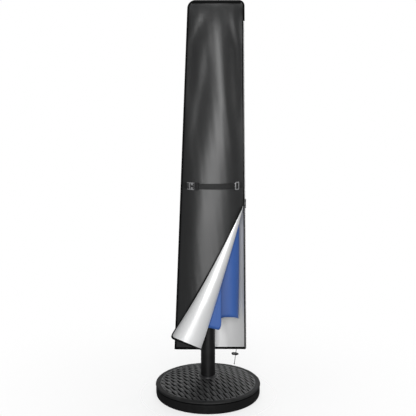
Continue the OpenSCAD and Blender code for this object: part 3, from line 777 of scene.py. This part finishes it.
def flap_edge(start, stop, steps, inset):
    """Path along the flap's free edge and hem, round its corner, with surface normals."""
    down_edge = [(t, 1.0) for t in np.linspace(start, 1 - ROUND_T, steps)]
    bend = [(1 - ROUND_T + ROUND_T * math.sin(a), 1 - ROUND_S * (1 - math.cos(a)))
            for a in np.linspace(0, math.pi / 2, 10)[1:]]
    hem = [(1.0, s) for s in np.linspace(1 - ROUND_S, stop, 36)[1:]]
    ts = np.array(down_edge + bend + hem)
    pts, ups = flap_point(ts[:, 0], ts[:, 1]), flap_normal(ts[:, 0], ts[:, 1])
    _, side, _ = frames(pts, ups)
    middle = flap_point(0.6, 0.5)
    inward = np.sign(np.einsum("ij,ij->i", side, middle - pts))[:, None] * side
    return pts + inset * inward, ups


FLAP_PIPE_R = 4.3 * MM
EDGE_STEPS = 90
flap_scale = np.concatenate([0.35 + 0.9 * smooth(np.linspace(0.03, 1, EDGE_STEPS) / 0.8),
                             np.linspace(1.25, 0.8, 44)])
path, ups = flap_edge(0.03, 0.0, EDGE_STEPS, -0.8 * MM * flap_scale[:, None])
flap_tape = new_piece("flap_zip_tape", sweep(path, circle(FLAP_PIPE_R), ups, flap_scale), ["binding"])

# ---- hems, piping and zip


def bound(name, path, section, ups, replaced=()):
    """A binding, tape or piping sewn to the cover."""
    return new_piece(name, sweep(path, section, ups), ["binding"], "cover", replaced)


def panel_path(panel, xs, zs, out):
    return panel.point(np.asarray(xs), np.asarray(zs), out), panel.normal(np.asarray(xs), np.asarray(zs))


HEM_TAPE = round_bar(12 * MM, 2.8 * MM, 1.2 * MM)
for panel, label, end, steps in ((BACK, "back", RIGHT_HEM, 110), (FRONT, "front", FOLD_X, 60)):
    xs = np.linspace(LEFT_HEM + 1 * MM, end - 1 * MM, steps)
    path, ups = panel_path(panel, xs, np.full_like(xs, HEM + 5 * MM), -0.5 * CLOTH)
    bound(f"{label}_hem_binding", path, HEM_TAPE, ups)

PIPE_R = 3.8 * MM
PIPE_OFF = 3.1 * MM


def seam_path(off, right_low):
    """Round the cover's outline, off metres outside its seam: up the left and over to right_low."""
    tl, tr = TOP - CORNER_LEFT, TOP - CORNER_RIGHT
    left = [(float(seam_left(z)) - off, z) for z in np.linspace(HEM, tl, 90)]
    a = np.linspace(0, math.pi / 2, 12)[1:]
    cx = float(seam_left(tl)) + CORNER_LEFT
    left += [(cx - (CORNER_LEFT + off) * math.cos(k), tl + (CORNER_LEFT + off) * math.sin(k)) for k in a]
    cx = float(seam_right(tr)) - CORNER_RIGHT
    right = [(cx + (CORNER_RIGHT + off) * math.sin(k), tr + (CORNER_RIGHT + off) * math.cos(k))
             for k in np.linspace(0, math.pi / 2, 12)]
    right += [(float(seam_right(z)) + off, z) for z in np.linspace(tr, right_low, 12)[1:]]
    return np.array([(x, 0, z) for x, z in left + right])


ZIP_TOP = 1.742
xs = np.linspace(LEFT_TOP + 14 * MM, RIGHT_TOP - 10 * MM, 60)
for panel, label in ((FRONT, "front"), (BACK, "back")):
    path, ups = panel_path(panel, xs, np.full_like(xs, TOP - 5 * MM), 0.3 * MM)
    bound(f"top_binding_{label}", path, round_bar(9 * MM, 2.0 * MM, 0.8 * MM), ups)
bound("cover_piping_cord", seam_path(PIPE_OFF, ZIP_TOP), circle(PIPE_R), (0, 1, 0), ["cover_piping"])


def tooth_row(points, ups, size, pitch, bevel=0.0):
    """Small blocks along a path: size is (along, side, up)."""
    along = run_of(points)
    at = np.arange(pitch, along[-1] - pitch, pitch)
    centre = np.stack([np.interp(at, along, points[:, i]) for i in range(3)], -1)
    t, side, normal = frames(points, ups)
    axes = [np.stack([np.interp(at, along, v[:, i]) for i in range(3)], -1) for v in (t, side, normal)]
    proto, faces, _ = box_part((0, 0, 0), np.eye(3), size, bevel)
    verts = centre[:, None] + sum(proto[None, :, i, None] * axes[i][:, None] for i in range(3))
    n = len(proto)
    faces = [tuple(i + k * n for i in f) for k in range(len(at)) for f in faces]
    verts = verts.reshape(-1, 3)
    return verts, faces, verts[:, :2]


def stitches(name, points, ups, length=4.2 * MM, pitch=6.5 * MM):
    verts, faces, _ = tooth_row(points, ups, (length, 0.7 * MM, 0.7 * MM), pitch, 0.25 * MM)
    new_piece(name, (verts, faces, None), ["thread"], "cover", ())


TOOTH_PITCH = 2.4 * MM
OPEN_TOOTH = (1.3 * MM, 3.0 * MM, 2.4 * MM)

# closed part of the zip, up the right seam
zs = np.linspace(ZIP_Z + 4 * MM, ZIP_TOP, 80)
seam = np.stack([seam_right(zs) + 1.6 * MM, np.zeros_like(zs), zs], -1)
part = tooth_row(seam, OUTWARD, (1.5 * MM, 5.4 * MM, 3.0 * MM), TOOTH_PITCH, 0.4 * MM)
new_piece("zip_teeth_closed", part, ["plastic"], "cover", ["zip_tape"])
for panel, label in ((FRONT, "front"), (BACK, "back")):
    path, ups = panel_path(panel, seam_right(zs) - 3.0 * MM, zs, 0.2 * MM)
    bound(f"zip_tape_{label}", path, round_bar(7.5 * MM, 1.5 * MM, 0.6 * MM), ups)
# open part, down the back panel's edge
zs = np.linspace(HEM + 2 * MM, ZIP_Z + 4 * MM, 80)
path, ups = panel_path(BACK, seam_right(zs) - 1.2 * MM, zs, -0.5 * CLOTH)
bound("zip_tape_open", path, round_bar(8.5 * MM, 4.6 * MM, 2.0 * MM), ups)
seam = np.stack([seam_right(zs) + 3.4 * MM, np.full_like(zs, 1.4 * MM), zs], -1)
part = tooth_row(seam, OUTWARD, OPEN_TOOTH, TOOTH_PITCH, 0.35 * MM)
new_piece("zip_teeth_open", part, ["plastic"], "cover", ())
# the other half of the open zip, on the flap's free edge
path, ups = flap_edge(0.06, 0.9, EDGE_STEPS, -0.8 * MM - FLAP_PIPE_R * flap_scale[:, None])
verts, faces, _ = tooth_row(path[:EDGE_STEPS], ups[:EDGE_STEPS], OPEN_TOOTH, TOOTH_PITCH, 0.35 * MM)
flap_teeth = new_piece("flap_zip_teeth", (verts, faces, None), ["plastic"])

# the flap and what is sewn to it get their placing baked into their meshes, and the frame's flap is hidden
for piece, slot_name in ((flap, "cover_cloth"), (flap_tape, "binding"), (flap_teeth, "plastic_black")):
    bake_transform(piece)
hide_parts("front_flap")

# ---- canopy, closed and wrapped round the pole

CANOPY_TOP = 1.722
CANOPY_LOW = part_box("canopy")[0].z
LOBES = [-68, 8, 52, 96, 140, 184, 221, 252, 292]     # each pleat's edge, in degrees round the canopy
HEMS = [0.386, 0.412, 0.404, 0.418, 0.401, 0.410, 0.372, 0.331]
PLEAT_LAP = 13                        # degrees of each pleat that lie under the one before
PLEAT_RIM = 2.2 * MM


def within_cover(points, gap):
    """Points moved towards the pole until they lie gap inside the hung cover."""
    x, y, z = points[..., 0], points[..., 1], points[..., 2]
    front, back = (half_depth(z) * panel.crown(x, z) - gap for panel in (FRONT, BACK))
    return np.stack([x, np.clip(y, -front, back), z], -1)


def canopy_outline(k, z, inset):
    """Point on the closed canopy at k degrees (0 is +X, -90 the front), inset metres inside its outline."""
    t = np.clip((CANOPY_TOP - z) / (CANOPY_TOP - CANOPY_LOW), 0, 1)
    right = 46 * MM + 101 * MM * np.clip(t / 0.66, 0, 1) ** 0.85
    left = 46 * MM + 70 * MM * t
    depth = 46 * MM + 20 * MM * t ** 0.8
    c, s = np.cos(np.radians(k)), np.sin(np.radians(k))
    x = (np.where(c > 0, right, left) - inset) * c
    front, back = (np.maximum(half_depth(z) * panel.crown(x, z) - 4 * MM, inset + 2 * MM)
                   for panel in (FRONT, BACK))
    y = np.clip(depth * s, -front, back) - inset * s
    return np.stack([x, y, z + 0 * x], -1)


def pleat_section():
    """Once round the canopy: degrees, share of the pleat's depth inset, inset of its rim and hem height."""
    rows = []
    for j in range(8):
        k0, k1 = LOBES[j] - PLEAT_LAP, LOBES[j + 1]
        hem, after = HEMS[j], HEMS[(j + 1) % 8]
        for s in np.linspace(0, 1, 26):
            k = k0 + (k1 - k0) * s
            arch = 0.014 * math.sin(math.pi * min(1, max(0, (k - LOBES[j]) / (k1 - LOBES[j]))) ** 0.7)
            tip = 0.022 * (1 - math.sqrt(1 - max(0, (s - 0.86) / 0.14) ** 2 * 0.999))
            sag = 0.021 * max(0.0, math.cos(math.radians(k))) ** 2
            rows.append((k, 1 - float(smooth(s / 0.50)), 0.0, hem + arch + tip - sag))
        for a in np.linspace(0, math.pi, 7)[1:]:
            rows.append((k1 + 1.1 * math.sin(a), 0.0, PLEAT_RIM * (1 - math.cos(a)), hem + 0.022))
        for s in np.linspace(0, 1, 8)[1:-1]:
            under = hem + 0.022 + (after - hem - 0.022) * float(smooth(s))
            rows.append((k1 - PLEAT_LAP * s, s * 0.95, PLEAT_RIM * 2 * (1 - s), under))
    return np.array(rows)


def canopy_cloth(name, grid, uvs, light, replaced):
    """A closed ring of the canopy's cloth and its flat cut; light is 1 where no fold shades it."""
    rows, turns = grid.shape[:2]
    part = grid.reshape(-1, 3), grid_faces(rows, turns, wrap=True), uvs.reshape(-1, 2)
    piece = new_piece(name, part, ["canopy"])
    set_painted_shade(piece, light.ravel())
    thicken(piece, 0.8 * MM, -1)
    stands_for(piece, "umbrella", [replaced])
    return piece, cloth_cut(np.concatenate([grid, grid[:, :1]], 1))


def make_canopy():
    k, deep, rim, hem = pleat_section().T
    rise = np.linspace(0, 1, 90)[:, None]
    z = hem + (CANOPY_TOP - hem) * rise
    depth = 3 * MM + 13 * MM * np.clip((CANOPY_TOP - z) / 1.35, 0, 1)
    ripple = 1.2 * MM * np.sin(7 * z + np.radians(5 * k)) * np.sin(np.radians(3 * k) + 4 * z)
    rows = list(canopy_outline(k + 2.5 * np.sin(3.1 * z), z, deep * depth + rim + 1.2 * MM + ripple))
    for radius, height in ((34 * MM, 1.742), (26 * MM, 1.7455), (20.4 * MM, 1.748)):
        lift = deep * 1.2 * MM
        r = radius - lift
        rows.append(np.stack([r * np.cos(np.radians(k)), r * np.sin(np.radians(k)), height - lift], -1))
    grid = np.array(rows)
    uvs = np.stack(np.meshgrid(run_of(grid[0]), np.linspace(0, 1.42, len(rows))), -1)
    # painted shade: the cloth darkens where a pleat lies deep under the one before it
    return canopy_cloth("canopy_pleated", grid, uvs, np.tile(1 - 0.85 * deep, (len(rows), 1)), "canopy")


canopy, canopy_cut = make_canopy()


def make_vent_cap():
    a = np.linspace(0, 2 * np.pi, 128, endpoint=False)
    rows = []
    for r, z in ((13.4, 1765.2), (18, 1763.0), (26, 1758.6), (34, 1753.6), (40, 1747.0), (44.5, 1738.5),
                 (48, 1729.6)):
        gore = 1 - 0.045 * (r / 48) * np.abs(np.sin(4 * a)) ** 0.6
        scallop = 3.2 * (max(0, r - 40) / 8) * np.abs(np.sin(4 * a))
        rows.append(np.stack([r * MM * gore * np.cos(a), r * MM * gore * np.sin(a), (z + scallop) * MM], -1))
    grid = within_cover(np.array(rows), 5 * MM)
    return canopy_cloth("vent_cap_cloth", grid, grid[..., :2], np.ones(grid.shape[:2]), "vent_cap")


vent_cap, vent_cut = make_vent_cap()

TIE_Z, TIE_W = 860 * MM, 38 * MM
turns = np.linspace(0, 360, 181)[:-1]
ring = canopy_outline(turns, np.full_like(turns, TIE_Z), -1.4 * MM)
path = np.concatenate([ring, ring[:12] * np.array([1.012, 1.03, 1])])
verts, faces, _ = sweep(path, round_bar(1.6 * MM, TIE_W, 0.7 * MM), (0, 0, 1))
tie = new_piece("canopy_tie", (verts, faces, None), ["canopy"], "umbrella", ["tie_strap"])
set_painted_shade(tie, np.ones(len(tie.data.vertices)))

# ---- waist strap, buckle and slide

STRAP_Z = 1.010
BUCKLE_X, SLIDE_X = -58 * MM, 129 * MM
WEB = round_bar(1.7 * MM, 26 * MM, 0.75 * MM, 3)


def strap_skin(x):
    """Front of the frame's cover at the strap's height."""
    left, right = seam_left(STRAP_Z), seam_right(STRAP_Z)
    u = np.minimum(1, np.abs(x - (left + right) / 2) / ((right - left) / 2))
    return -(SEAM_GAP + half_depth(STRAP_Z) * (1 - u ** 2.3) ** 0.85 + SHELL)


def strap_axes(x):
    """Along the strap and out of the panel, at x."""
    slope = (strap_skin(x + 1 * MM) - strap_skin(x - 1 * MM)) / (2 * MM)
    along = np.array([1, slope, 0]) / math.hypot(1, slope)
    return along, np.array([along[1], -along[0], 0])


def strap_route(points, at=None):
    """Smooth path through (x, lift) points: on the panel, or in the flat frame of the fitting at x."""
    pts = np.array(points, float) * MM
    s = np.linspace(0, len(pts) - 1, 6 * len(pts))
    xs, lifts = (np.interp(s, range(len(pts)), pts[:, i]) for i in range(2))
    for _ in range(3):
        xs[1:-1], lifts[1:-1] = ((v[:-2] + 2 * v[1:-1] + v[2:]) / 4 for v in (xs, lifts))
    if at is None:
        return np.array([(x, strap_skin(x) - lift, STRAP_Z) for x, lift in zip(xs, lifts)])
    along, out = strap_axes(at)
    origin = np.array([at, strap_skin(at), STRAP_Z])
    return np.array([origin + x * along + lift * out for x, lift in zip(xs, lifts)])


# the strap: threaded over the plug's bar, then across the panel to the slide
plug_part = strap_route([(9.5, 2.4), (9.6, 7), (10.5, 10.4), (14, 11.3), (17.2, 10.2), (17.6, 6.5), (18, 2.6),
                         (22, 1.3)], BUCKLE_X)
across = strap_route([(x, 1.9) for x in np.linspace(-28, 108, 40)])
slide_in = strap_route([(-13, 1.6), (-9.5, 1.2), (-6, 2.6), (-4.8, 6), (-2.6, 7.7), (0, 7.9)], SLIDE_X)
strap_path = np.concatenate([plug_part, across, slide_in])
slide_out = strap_route([(0, 7.9), (2.6, 7.7), (4.8, 6), (6, 2.6), (9.5, 1.2), (13, 1.5)], SLIDE_X)
right_end = float(seam_right(STRAP_Z)) / MM - 4
tab_run = strap_route([(x, 1.5) for x in np.linspace(SLIDE_X / MM + 15, right_end, 8)])
tab_path = np.concatenate([slide_out, tab_run])
left_start = float(seam_left(STRAP_Z)) / MM + 4
tab_left = strap_route([(x, 1.3) for x in np.linspace(left_start, BUCKLE_X / MM - 44, 8)])
tab_loop = strap_route([(-41, 1.5), (-36, 1.9), (-34, 4), (-34, 7), (-35.4, 9.3), (-38, 8.2), (-41, 4.6),
                        (-46, 3.3)], BUCKLE_X)


def web_piece(name, path, replaced=()):
    return new_piece(name, sweep(path, WEB, (0, 0, 1)), ["webbing"], "cover", replaced)


strap = web_piece("waist_strap_webbing", strap_path, ["strap"])
web_piece("strap_tab_right", tab_path, ["strap_tabs"])
web_piece("strap_tab_left", np.concatenate([tab_left, tab_loop]))
along, out = strap_axes(BUCKLE_X)
anchor = strap_route([(0, 2)], SLIDE_X)[0]
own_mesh(strap)


def softened(node, width, finish, body):
    """A copy of a CAD part with its edges rounded, standing for it."""
    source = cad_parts[node]
    mesh = source.data.copy()
    mesh.transform(source.matrix_world)
    bm = bmesh.new()
    bm.from_mesh(mesh)
    bmesh.ops.remove_doubles(bm, verts=bm.verts, dist=1e-6)
    bmesh.ops.dissolve_limit(bm, angle_limit=math.radians(2), verts=bm.verts, edges=bm.edges)
    bm.to_mesh(mesh)
    bm.free()
    mesh.materials.clear()
    mesh.materials.append(MAT[finish])
    piece = bpy.data.objects.new(f"{node}_finished", mesh)
    scene.collection.objects.link(piece)
    mod = piece.modifiers.new("round", "BEVEL")
    mod.width, mod.segments, mod.limit_method, mod.angle_limit = width, 2, "ANGLE", math.radians(35)
    apply_modifiers(piece)
    piece.data.polygons.foreach_set("use_smooth", [True] * len(piece.data.polygons))
    piece.data.set_sharp_from_angle(angle=math.radians(42))
    return stands_for(piece, body, [node])


SOFTENED = {node: softened(node, width * MM, finish, body) for node, width, finish, body in (
    ("buckle_socket", 0.8, "buckle", "cover"),
    ("buckle_plug", 0.6, "plastic", "plug"),
    ("strap_slide", 0.9, "chrome", "cover"),
    ("clamp_knob", 1.2, "plastic", "clamp_grip"),
    ("zip_slider", 0.5, "gunmetal", "slider"),
    ("zip_pull", 0.4, "gunmetal", "pull"),
    ("cord_lock", 0.6, "plastic", "lock"),
    ("lock_button", 0.5, "plastic", "button"),
    ("hub_ring", 0.8, "plastic", "base"),
    ("upper_sleeve", 0.8, "plastic", "sleeves"))}

# black strips, the socket's own black, that break its grey, a painted highlight, into bars
along, out = strap_axes(BUCKLE_X)
origin = np.array([BUCKLE_X, strap_skin(BUCKLE_X), STRAP_Z])
black_strips = [box_part(origin + x * MM * along + 11.3 * MM * out, (along, out, (0, 0, 1)),
                 np.array((wide, 1.2, 27)) * MM, 0.3 * MM)
        for x, wide in ((-27.0, 3.4), (-16.8, 2.8), (-3.2, 4.6))]
new_piece("socket_black_strips", joined(black_strips), ["binding"], "cover", ())

# seam stitches along the hems and over the strap's ends
for panel, label, end in ((FRONT, "front", FOLD_X - 6 * MM), (BACK, "back", RIGHT_HEM - 8 * MM)):
    xs = np.linspace(LEFT_HEM + 6 * MM, end, 120)
    for row, up_by in enumerate((2.6 * MM, 9.0 * MM)):
        path, ups = panel_path(panel, xs, np.full_like(xs, HEM + up_by), 1.0 * MM)
        stitches(f"hem_stitches_{label}_{row + 1}", path, ups)
for label, centre in (("left", BUCKLE_X - 60 * MM), ("right", SLIDE_X + 25 * MM)):
    for row, x in enumerate((centre - 6 * MM, centre + 6 * MM)):
        zs = np.linspace(STRAP_Z - 12 * MM, STRAP_Z + 12 * MM, 9)
        points = np.stack([np.full_like(zs, x), np.full_like(zs, strap_skin(x) - 2.3 * MM), zs], -1)
        stitches(f"strap_stitches_{label}_{row + 1}", points, OUTWARD, 2.4 * MM, 3.6 * MM)

# ---- drawcord

cord_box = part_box("drawcord")
CORD_R = 1.4 * MM
CORD_POINTS = [(138, 3, 214), (138, 5.6, 211.5), (137.7, 6.8, 207), (137.2, 7, 201), (136.5, 7, 195),
               (135.7, 7, 189), (134.9, 7, 183), (134.1, 7, 177), (133.3, 7, 171), (132.6, 7, 165),
               (132, 7, 159), (131.4, 7, 153), (130.8, 7, 147), (130.1, 7, 141), (129.3, 7, 135),
               (128.4, 7, 129)]
eyelet_low, eyelet_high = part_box("hem_eyelet")
cord_shift = np.array([0, cord_box[1].y / MM - 7 - 1.4, (eyelet_low.z + eyelet_high.z) / 2 / MM + 0.8 - 214])
cord_route = (np.array(CORD_POINTS) + cord_shift) * MM
drawcord = new_piece("drawcord_braid", sweep(cord_route, circle(CORD_R, 14), (0, 1, 0.3)), ["cord"], "cover",
                     ["drawcord"])
knot_centre = cord_route[-1] - np.array([0, 0, 3.2 * MM])
a = np.linspace(0, 2 * np.pi, 73)[:-1]
trefoil = np.stack([np.sin(a) + 2 * np.sin(2 * a), -np.sin(3 * a), np.cos(a) - 2 * np.cos(2 * a)], -1)
trefoil = trefoil * 0.62 * MM + knot_centre
loop = np.concatenate([trefoil, trefoil[:1]])
knot = new_piece("cord_end_knot", sweep(loop, circle(1.15 * MM, 10), (0.13, 1, 0.07)), ["cord"], "cover",
                 ["cord_knot"])


# ---- floor

def make_floor():
    bpy.ops.mesh.primitive_circle_add(vertices=96, radius=3.2, fill_type="NGON", location=(0, 0, -0.0005))
    floor = bpy.context.object
    floor.name = "studio_floor"
    m = Nodes("studio_floor")
    at = m.feed(m.new("ShaderNodeMapping"), Vector=m.coord.outputs["Object"], Scale=(1 / 1.5, 1 / 1.5, 1))
    fade = m.feed(m.new("ShaderNodeTexGradient", gradient_type="SPHERICAL"), Vector=at.outputs[0])
    m.set(Base_Color=(0.96, 0.96, 0.96, 1), Roughness=0.7,
          Alpha=m.math("POWER", m.span(fade.outputs["Fac"], 0.0, 0.85, 0.0, 0.55), 2.0))
    floor.data.materials.append(m.mat)


make_floor()
